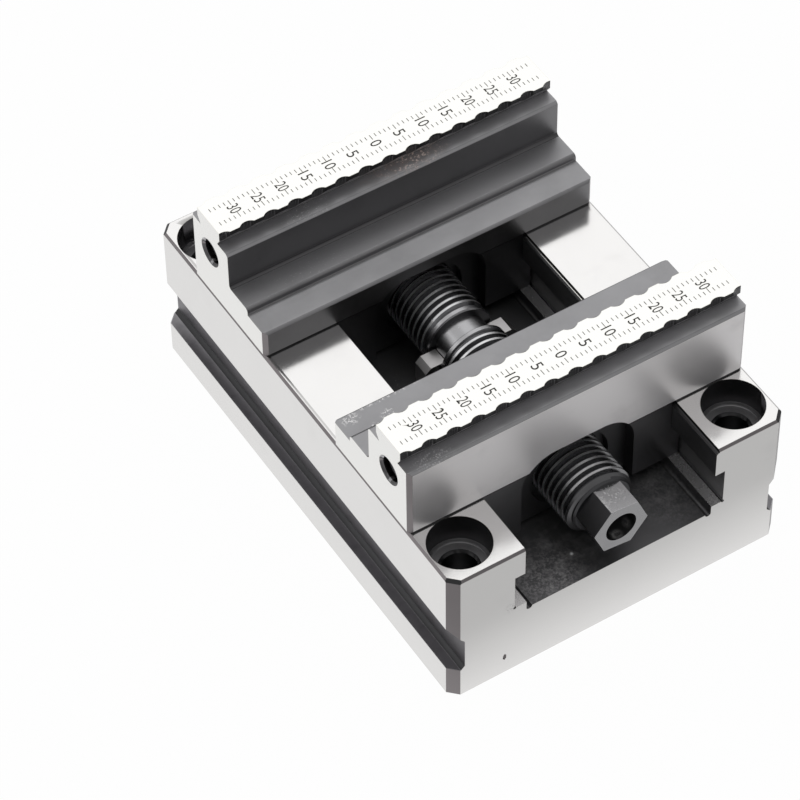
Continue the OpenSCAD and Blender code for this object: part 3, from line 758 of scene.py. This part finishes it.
def makeCornerTops():
    # a slant on top of each standing corner, painted in shade
    b = body
    side = b["cornerTop"] * math.sqrt(2)
    half = b["cornerCut"] / 2
    cutters = []
    for across, along in ((-1, -1), (1, 1), (-1, 1), (1, -1)):
        cutters.append(addCutter("cornerTop",
            (across * (b["sideX"] - half), along * (b["endY"] - half), b["railZ"]),
            (3 * b["cornerCut"], side, side), lipShade, (45, 0, 90 + 45 * across * along)))
    return cutters


def makeBase():
    base = mergedCopy("base", "groundBase")
    finishFaces(base, [bodySteel, seatSteel, chamferShade, channelBlack, holeBlack, boreShade,
        ledgeSteel, brightSteel, lipShade, counterboreShade], bodyFinish)
    cutWith(base, makeNick())
    for cutter in makeSlotStep() + makeCornerTops():
        cutWith(base, cutter)
    smoothByAngle(base, 20)
    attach(base, "body")
    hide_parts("base")


makeBase()
print("body finished")


# Engraved scale on the jaws

scale = {
    "rows": (28.39, 32.17),    # mm from the middle, centres of the two rows of marks
    "step": 1.0,               # mm
    "reach": 34,               # marks on either side of zero
    "shortMark": 0.85,         # mm
    "longMark": 1.25,
    "markWidth": 0.14,
    "depth": 0.06,
    "digitHeight": 2.25,
    "fontShare": 0.7,          # height of a digit in the font's own size
    "digitWidth": 1.0,
    "loneDigitWidth": 1.2,
    "digitEvery": 5,
    "lastDigit": 30,
    "top": 52.0,               # mm, height of the jaw tops
}


def addMark(place, length):
    s = scale
    bpy.ops.mesh.primitive_cube_add(size=1, location=place, scale=(
        s["markWidth"] * mm, length * mm, 2 * s["depth"] * mm))
    return bpy.context.object


def makeMarks():
    s = scale
    marks = []
    middle = sum(s["rows"]) / 2
    for row in s["rows"]:
        outward = 1 if row > middle else -1
        for count in range(-s["reach"], s["reach"] + 1):
            long = count % s["digitEvery"] == 0
            length = s["longMark"] if long else s["shortMark"]
            centre = row - outward * (length - s["shortMark"]) / 2
            deselectAll()
            marks.append(addMark((count * s["step"] * mm, centre * mm, s["top"] * mm), length))
    return joinInto(marks[0], marks[1:])


def makeNumber(value):
    # a number whose top points to +X, made a mesh before it is placed
    s = scale
    deselectAll()
    bpy.ops.object.text_add()
    text = bpy.context.object
    text.data.body = str(value)
    text.data.align_x = "CENTER"
    text.data.align_y = "CENTER"
    text.data.size = s["digitHeight"] * mm / s["fontShare"]
    text.data.extrude = s["depth"] * mm
    bpy.ops.object.convert(target="MESH")
    number = bpy.context.object
    corners = [Vector(c) for c in number.bound_box]
    low = Vector([min(c[i] for c in corners) for i in range(3)])
    high = Vector([max(c[i] for c in corners) for i in range(3)])
    width = (s["loneDigitWidth"] if value < 10 else 2 * s["digitWidth"]) * mm
    number.data.transform(Matrix.Translation(-(low + high) / 2))
    number.scale = (width / (high.x - low.x), s["digitHeight"] * mm / (high.y - low.y), 1)
    applyPlace(number)
    return number


def makeNumbers():
    s = scale
    numbers = []
    middle = sum(s["rows"]) / 2
    for count in range(-s["lastDigit"], s["lastDigit"] + 1, s["digitEvery"]):
        number = makeNumber(abs(count))
        number.rotation_euler = (0, 0, math.radians(-90))
        number.location = (count * s["step"] * mm, middle * mm, s["top"] * mm)
        applyPlace(number)
        numbers.append(number)
    return joinInto(numbers[0], numbers[1:])


endThread = {
    "across": 30.25,          # mm, from the middle
    "height": 43.6,
    "mouthX": 35.0,
    "bottomX": 26.2,
    "minor": 2.48,            # radius between the thread's grooves and in them
    "major": 2.95,
    "pitch": 1.0,
    "lead": 0.1,              # plain length before the first groove
    "profile": (0.4, 0.55, 0.95),  # shares of the pitch where a groove is reached, left and closed
    "sides": 40,
}


def makeEndThread(side, material, row):
    # the grooves of a tapped hole, as a cutter with one ring per turn
    e = endThread
    stations = [(e["bottomX"], e["minor"])]
    along = e["bottomX"] + e["lead"]
    while along + e["pitch"] < e["mouthX"]:
        reached, left, closed = [along + e["pitch"] * share for share in e["profile"]]
        stations += [(along, e["minor"]), (reached, e["major"]), (left, e["major"]), (closed, e["minor"])]
        along += e["pitch"]
    thread = turnedBar("endThread", stations, e["sides"])
    thread.rotation_euler = (0, 0, math.radians(-90 * side))
    thread.location = (0, row * e["across"] * mm, e["height"] * mm)
    applyPlace(thread)
    thread.data.materials.clear()
    thread.data.materials.append(material)
    return thread


jawEdges = {
    "lip": 1.05,              # mm, height of the scalloped lip's edge
    "endX": 35.5,
    "outerY": 36.75,
    "innerY": 11.7,
    "bottomZ": 32.4,
    "lowShelf": 6.2,          # heights above the rail
    "middleShelf": 7.7,
    "ledge": 16.2,
    "outerCut": 0.45,         # slants along the lower edges
    "innerCut": 0.4,
    "endCut": 0.3,
    "ledgeCut": 0.12,         # slant along the outer face's upper edge
    "flat": 0.02,             # a face this near a plane lies in it
    "cornerX": 34.6,          # the standing corners lie outside it
    "hanging": 0.2,           # what faces downwards by more
    "stepLean": (0.12, 0.97), # what leans along Y between these is a slant or a step
}


def jawFinish(centre, normal):
    # the top and the ends are ground bright, the outer face is ground, the rest is black, with painted
    # shade on the lip, corner slants, walls, steps and coves and a painted sheen on the faces that hang
    # down
    e = jawEdges
    if centre.z > scale["top"] - e["flat"] or abs(centre.x) > e["endX"] - e["flat"]:
        return jawSteel
    if abs(centre.y) > e["outerY"] - e["flat"]:
        return jawFaceSteel
    # painted shade on the standing corner slants
    if abs(normal.z) < lean["upright"] and isSlant(normal.x) and abs(centre.x) > e["cornerX"]:
        return chamferShade
    # painted shade on the scalloped lip
    if centre.z > scale["top"] - e["lip"]:
        return lipShade
    # painted sheen on the faces that hang downwards
    if normal.z < -e["hanging"]:
        return undersideSheenAndRust
    height = centre.z - e["bottomZ"]
    least, most = e["stepLean"]
    # painted shade on the rounded steps
    if abs(normal.y) > least and e["lowShelf"] < height < e["middleShelf"]:
        return stepShade
    # painted shade in the coves at the walls' feet and on the steps
    if least < abs(normal.y) < most and height < e["ledge"] - 1:
        return creaseShade if height > e["middleShelf"] else stepShade
    # painted shade on the upright walls
    if abs(normal.y) > lean["flat"]:
        return wallShade
    return frontJawBlack if centre.y < 0 else rearJawBlack


def makeFootCut(row):
    # slants along the foot's lower edges and the outer face's upper edge, painted in shade by the cutter's
    # colour
    e = jawEdges
    cutters = []
    for x, y, z, cut, turn in ((0, row * e["outerY"], 0, e["outerCut"], (45, 0, 0)),
            (0, row * e["outerY"], e["ledge"], e["ledgeCut"], (45, 0, 0)),
            (0, row * e["innerY"], 0, e["innerCut"], (45, 0, 0)),
            (-e["endX"], 0, 0, e["endCut"], (0, 45, 0)), (e["endX"], 0, 0, e["endCut"], (0, 45, 0))):
        side = cut * math.sqrt(2)
        long = 4 * e["endX"]
        size = (long, side, side) if turn[0] else (side, long, side)
        cutters.append(addCutter("footCut", (x, y, e["bottomZ"] + z), size, lipShade, turn))
    return cutters


def makeJaw(node, name, cutter, carrier):
    row = -1 if node == "front_jaw" else 1
    shelfFinish = frontJawBlack if row < 0 else rearJawBlack
    jaw = mergedCopy(node, name)
    finishFaces(jaw, [jawSteel, markFill, jawFaceSteel, chamferShade, shelfFinish, lineFill, wallShade,
        lipShade, undersideSheenAndRust, stepShade, creaseShade], jawFinish)
    cutWith(jaw, cutter)
    # painted shade in the tapped holes' thread grooves
    for side in (-1, 1):
        cutWith(jaw, makeEndThread(side, boreShade, row))
    for footCut in makeFootCut(row):
        cutWith(jaw, footCut)
    smoothByAngle(jaw, 30)
    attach(jaw, carrier)
    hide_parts(node)


lines = makeMarks()
lines.data.materials.clear()
lines.data.materials.append(lineFill)
numbers = makeNumbers()
numbers.data.materials.clear()
numbers.data.materials.append(markFill)
rearMarks = joinInto(lines, [numbers])
applyPlace(rearMarks)
frontMarks = copyPiece(rearMarks, "frontMarks")
frontMarks.location = (0, -sum(scale["rows"]) * mm, 0)
applyPlace(frontMarks)
makeJaw("rear_jaw", "rearJawScaled", rearMarks, "rear_slide")
makeJaw("front_jaw", "frontJawScaled", frontMarks, "front_slide")
print("jaws engraved")


# Spindle, its two halves threaded in opposite directions

spindleSizes = {
    "axisHeight": 25.0,      # mm
    "threadRadius": 7.0,
    "rootRadius": 6.12,
    "pitch": 1.5,
    "neckRadius": 5.5,
    "neckHalf": 2.25,
    "landEnd": 3.5,
    "threadEnd": 44.5,
    "endCut": 1.2,
    "hexAcross": 10.0,
    "hexEnd": 50.25,
    "hexTurn": 7.3,          # degrees
    "hexHoleRadius": 3.2,
    "hexHoleDepth": 5.0,
    "hexEdge": 0.12,         # bevel on the hex end
    "hexOverlap": 2.0,       # how far the hex end reaches into the bar
    "landCut": 0.25,         # bevel on the lands beside the neck
    "landSlant": 0.5,        # from a land down to the root
    "endSlant": 0.4,         # from the root up to the thread's end
    "crest": 0.16,           # half width of the ridge's crest and width of its flank, shares of the pitch
    "flank": 0.22,
    "ridgeInset": 0.1,       # the ridge starts this far inside the root
    "ridgeSteps": 64,        # per turn
    "sides": 96,
    "near": 0.05,            # a face this near a radius or an end belongs to it
    "flat": 0.02,
}


def halfBar(name):
    s = spindleSizes
    cut = s["landCut"]
    return turnedBar(name, [
        (0, s["neckRadius"]), (s["neckHalf"], s["neckRadius"]),
        (s["neckHalf"], s["threadRadius"] - cut), (s["neckHalf"] + cut, s["threadRadius"]),
        (s["landEnd"] - cut, s["threadRadius"]), (s["landEnd"], s["threadRadius"] - cut),
        (s["landEnd"] + s["landSlant"], s["rootRadius"]), (s["threadEnd"] - s["endSlant"], s["rootRadius"]),
        (s["threadEnd"], s["threadRadius"] - s["endCut"])], s["sides"])


def threadRidge(name, hand):
    # one turn of the thread's ridge, run along the bar by a screw modifier
    s = spindleSizes
    crest = s["pitch"] * s["crest"]
    flank = s["pitch"] * s["flank"]
    inner = s["rootRadius"] - s["ridgeInset"]
    outline = [(inner, -crest - flank), (s["threadRadius"], -crest), (s["threadRadius"], crest),
        (inner, crest + flank)]
    deselectAll()
    bpy.ops.mesh.primitive_circle_add(vertices=len(outline), radius=1 * mm, fill_type="NOTHING")
    ridge = nameNew(name)
    turns = int((s["threadEnd"] - s["landEnd"] + s["ridgeInset"]) / s["pitch"])
    startAt = s["threadEnd"] - turns * s["pitch"] - crest - flank
    for vertex, (radius, along) in zip(ridge.data.vertices, outline):
        vertex.co = (radius * mm, (startAt + along) * mm, 0)
    screw = ridge.modifiers.new("screw", "SCREW")
    screw.axis = "Y"
    screw.steps = s["ridgeSteps"]
    screw.render_steps = s["ridgeSteps"]
    screw.iterations = turns
    screw.screw_offset = s["pitch"] * mm
    screw.use_merge_vertices = False
    applyModifier(ridge, screw)
    for vertex in ridge.data.vertices:
        along = vertex.co.y / mm
        radius = math.hypot(vertex.co.x, vertex.co.z) / mm
        most = min(s["threadRadius"], s["threadRadius"] - s["endCut"] + (s["threadEnd"] - along))
        if radius > most:
            vertex.co.x *= most / radius
            vertex.co.z *= most / radius
        if hand < 0:
            vertex.co.x = -vertex.co.x
    editMesh(ridge)
    bpy.ops.mesh.select_mode(type="EDGE")
    bpy.ops.mesh.select_all(action="DESELECT")
    bpy.ops.mesh.select_non_manifold()
    bpy.ops.mesh.fill_holes(sides=8)
    bpy.ops.mesh.select_all(action="SELECT")
    bpy.ops.mesh.normals_make_consistent(inside=False)
    leaveEdit()
    return ridge


def makeHexEnd():
    s = spindleSizes
    deselectAll()
    length = s["hexEnd"] - s["threadEnd"] + s["hexOverlap"]
    bpy.ops.mesh.primitive_cylinder_add(vertices=6, radius=s["hexAcross"] / math.sqrt(3) * mm,
        depth=length * mm, end_fill_type="NGON", location=(0, -(s["hexEnd"] - length / 2) * mm, 0),
        rotation=(math.radians(90), 0, 0))
    hexEnd = nameNew("hexEnd")
    applyPlace(hexEnd)
    hexEnd.rotation_euler = (0, math.radians(s["hexTurn"] + 90), 0)
    applyPlace(hexEnd)
    editMesh(hexEnd)
    bpy.ops.mesh.select_mode(type="EDGE")
    bpy.ops.mesh.select_all(action="SELECT")
    bpy.ops.mesh.bevel(offset=s["hexEdge"] * mm, segments=2)
    leaveEdit()
    deselectAll()
    tip = s["hexHoleRadius"] / 2
    bpy.ops.mesh.primitive_cone_add(vertices=s["sides"] // 2, radius1=0, radius2=s["hexHoleRadius"] * mm,
        depth=tip * mm, end_fill_type="NGON", rotation=(math.radians(90), 0, 0),
        location=(0, (s["hexHoleDepth"] + tip / 2 - s["hexEnd"]) * mm, 0))
    hole = nameNew("hexHole")
    applyPlace(hole)
    editMesh(hole)
    selectFaces(hole, lambda face: len(face.vertices) > 4)
    bpy.ops.mesh.extrude_region_move(TRANSFORM_OT_translate={"value": (0, -2 * s["hexHoleDepth"] * mm, 0)})
    bpy.ops.mesh.select_all(action="SELECT")
    bpy.ops.mesh.normals_make_consistent(inside=False)
    leaveEdit()
    cutWith(hexEnd, hole)
    return hexEnd


def spindleFinish(centre, normal):
    s = spindleSizes
    near = s["near"]
    radius = math.hypot(centre.x, centre.z - s["axisHeight"])
    fromMiddle = abs(centre.y)
    if fromMiddle < s["landEnd"]:
        # painted shade on the lands' upright faces beside the neck
        return rootShade if abs(normal.y) > lean["flat"] else hexSteel
    if radius > s["threadRadius"] - near:
        # painted highlight on the crests
        return crestHighlight
    if centre.y < -s["threadEnd"] - near:
        if radius < s["hexHoleRadius"] + near and normal.y > -lean["flat"]:
            # painted shade inside the hex hole
            return nutAndPaintedLightSteel
        # painted shade on the hex facets that face -X
        return rootShade if normal.x < -lean["slanted"] else hexSteel
    if radius < s["rootRadius"] + 2 * near or fromMiddle > s["threadEnd"] - s["flat"]:
        # painted shade in the thread's root and on the end cap
        return rootShade
    # painted shade on the thread's end slant
    return nutAndPaintedLightSteel if fromMiddle > s["threadEnd"] - s["endCut"] else spindleSteel


def makeSpindle():
    s = spindleSizes
    rear = joinInto(halfBar("spindleScrew"), [threadRidge("rearThread", 1)])
    front = joinInto(halfBar("frontBar"), [threadRidge("frontThread", -1)])
    front.rotation_euler = (0, 0, math.radians(180))
    applyPlace(front)
    spindle = joinInto(rear, [front])
    editMesh(spindle)
    selectFaces(spindle, lambda face: len(face.vertices) > 4 and abs(face.center.y) < tiny)
    bpy.ops.mesh.delete(type="FACE")
    bpy.ops.mesh.select_all(action="SELECT")
    bpy.ops.mesh.remove_doubles(threshold=tiny)
    leaveEdit()
    joinInto(spindle, [makeHexEnd()])
    spindle.location = (0, 0, s["axisHeight"] * mm)
    applyPlace(spindle)
    finishFaces(spindle, [spindleSteel, hexSteel, rootShade, nutAndPaintedLightSteel, crestHighlight], spindleFinish)
    smoothByAngle(spindle, 28)
    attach(spindle, "spindle")
    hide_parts("spindle")


makeSpindle()
print("spindle cut")


# Floor, lamps and surroundings

studio = {
    "floorSize": 6.0,          # m
    "floorColour": (0.86, 0.86, 0.86),
    "floorRough": 0.9,
    "floorSpecular": 0.1,
    "floorDrop": 0.01,         # mm below the object
    "floorGlow": (0.54, 0.84), # what polished faces see of the floor, in front of and behind glowEdge
    "glowEdge": (-0.062, -0.05),
    "glowShare": 0.98,         # the rest is lit, so that the object's shadow stays
    "keyPlace": (0.55, 0.9, 1.25), "keySize": 1.1, "keyPower": 0.9,
    "fillPlace": (-1.1, 0.5, 0.9), "fillSize": 1.0, "fillPower": 1.2,
    "skyHigh": 0.78, "skyLow": 0.5,
    "skyRise": (-0.1, 0.7),    # heights where the sky is low and high
    "skyFront": 0.6,           # share of the sky's brightness on the camera's side
    "skySide": (-0.4, 0.4),    # front and back of the change in brightness
    "aim": (0, 0, 0.03),       # m, where the lamps point
}


def makeFloor():
    deselectAll()
    bpy.ops.mesh.primitive_plane_add(size=studio["floorSize"], location=(0, 0, -studio["floorDrop"] * mm))
    floor = nameNew("paleFloor")
    material, tree, shader = newMaterial("paleFloor", 0.0, studio["floorColour"])
    shader.inputs["Base Color"].default_value = (*studio["floorColour"], 1)
    shader.inputs["Roughness"].default_value = studio["floorRough"]
    shader.inputs["Specular IOR Level"].default_value = studio["floorSpecular"]
    path = addNode(tree, "ShaderNodeLightPath")
    coords = addNode(tree, "ShaderNodeTexCoord")
    split = addNode(tree, "ShaderNodeSeparateXYZ")
    wire(tree, coords.outputs["Object"], split.inputs[0])
    glowing = remap(tree, split.outputs["Y"], *studio["glowEdge"], *studio["floorGlow"])
    polished = addNode(tree, "ShaderNodeMath", {"operation": "MAXIMUM"})
    wire(tree, path.outputs["Is Glossy Ray"], polished.inputs[0])
    wire(tree, path.outputs["Is Transmission Ray"], polished.inputs[1])
    seen = addNode(tree, "ShaderNodeMath", {"operation": "MAXIMUM"})
    wire(tree, path.outputs["Is Camera Ray"], seen.inputs[0])
    wire(tree, polished.outputs[0], seen.inputs[1])
    level = addNode(tree, "ShaderNodeMix", {"data_type": "FLOAT"}, {"B": 1.0})
    wire(tree, path.outputs["Is Camera Ray"], level.inputs["Factor"])
    wire(tree, glowing, level.inputs["A"])
    glow = addNode(tree, "ShaderNodeEmission")
    wire(tree, level.outputs["Result"], glow.inputs["Strength"])
    mix = addNode(tree, "ShaderNodeMixShader")
    wire(tree, scaled(tree, seen.outputs[0], studio["glowShare"]), mix.inputs["Fac"])
    wire(tree, shader.outputs[0], mix.inputs[1])
    wire(tree, glow.outputs[0], mix.inputs[2])
    wire(tree, mix.outputs[0], tree.nodes["Material Output"].inputs["Surface"])
    floor.data.materials.append(material)


def addLamp(name, place, size, power):
    deselectAll()
    bpy.ops.object.light_add(type="AREA", location=place)
    lamp = bpy.context.object
    lamp.name = name
    lamp.data.shape = "DISK"
    lamp.data.size = size
    lamp.data.energy = power
    aim = Vector(studio["aim"]) - Vector(place)
    lamp.rotation_euler = aim.to_track_quat("-Z", "Y").to_euler()


def makeSurroundings():
    world = bpy.data.worlds.new("studioWorld")
    bpy.context.scene.world = world
    world.use_nodes = True
    tree = world.node_tree
    background = tree.nodes["Background"]
    coords = addNode(tree, "ShaderNodeTexCoord")
    split = addNode(tree, "ShaderNodeSeparateXYZ")
    wire(tree, coords.outputs["Generated"], split.inputs[0])
    high = remap(tree, split.outputs["Z"], *studio["skyRise"], studio["skyLow"], studio["skyHigh"])
    side = remap(tree, split.outputs["Y"], *studio["skySide"], studio["skyFront"], 1.0)
    sky = addNode(tree, "ShaderNodeMath", {"operation": "MULTIPLY"})
    wire(tree, high, sky.inputs[0])
    wire(tree, side, sky.inputs[1])
    path = addNode(tree, "ShaderNodeLightPath")
    seen = addNode(tree, "ShaderNodeMix", {"data_type": "FLOAT"}, {"B": 1.0})
    wire(tree, path.outputs["Is Camera Ray"], seen.inputs["Factor"])
    wire(tree, sky.outputs[0], seen.inputs["A"])
    background.inputs["Color"].default_value = (1, 1, 1, 1)
    wire(tree, seen.outputs["Result"], background.inputs["Strength"])


makeFloor()
addLamp("keyLamp", studio["keyPlace"], studio["keySize"], studio["keyPower"])
addLamp("fillLamp", studio["fillPlace"], studio["fillSize"], studio["fillPower"])
makeSurroundings()
bpy.context.scene.view_settings.view_transform = "Standard"
print("studio lit")
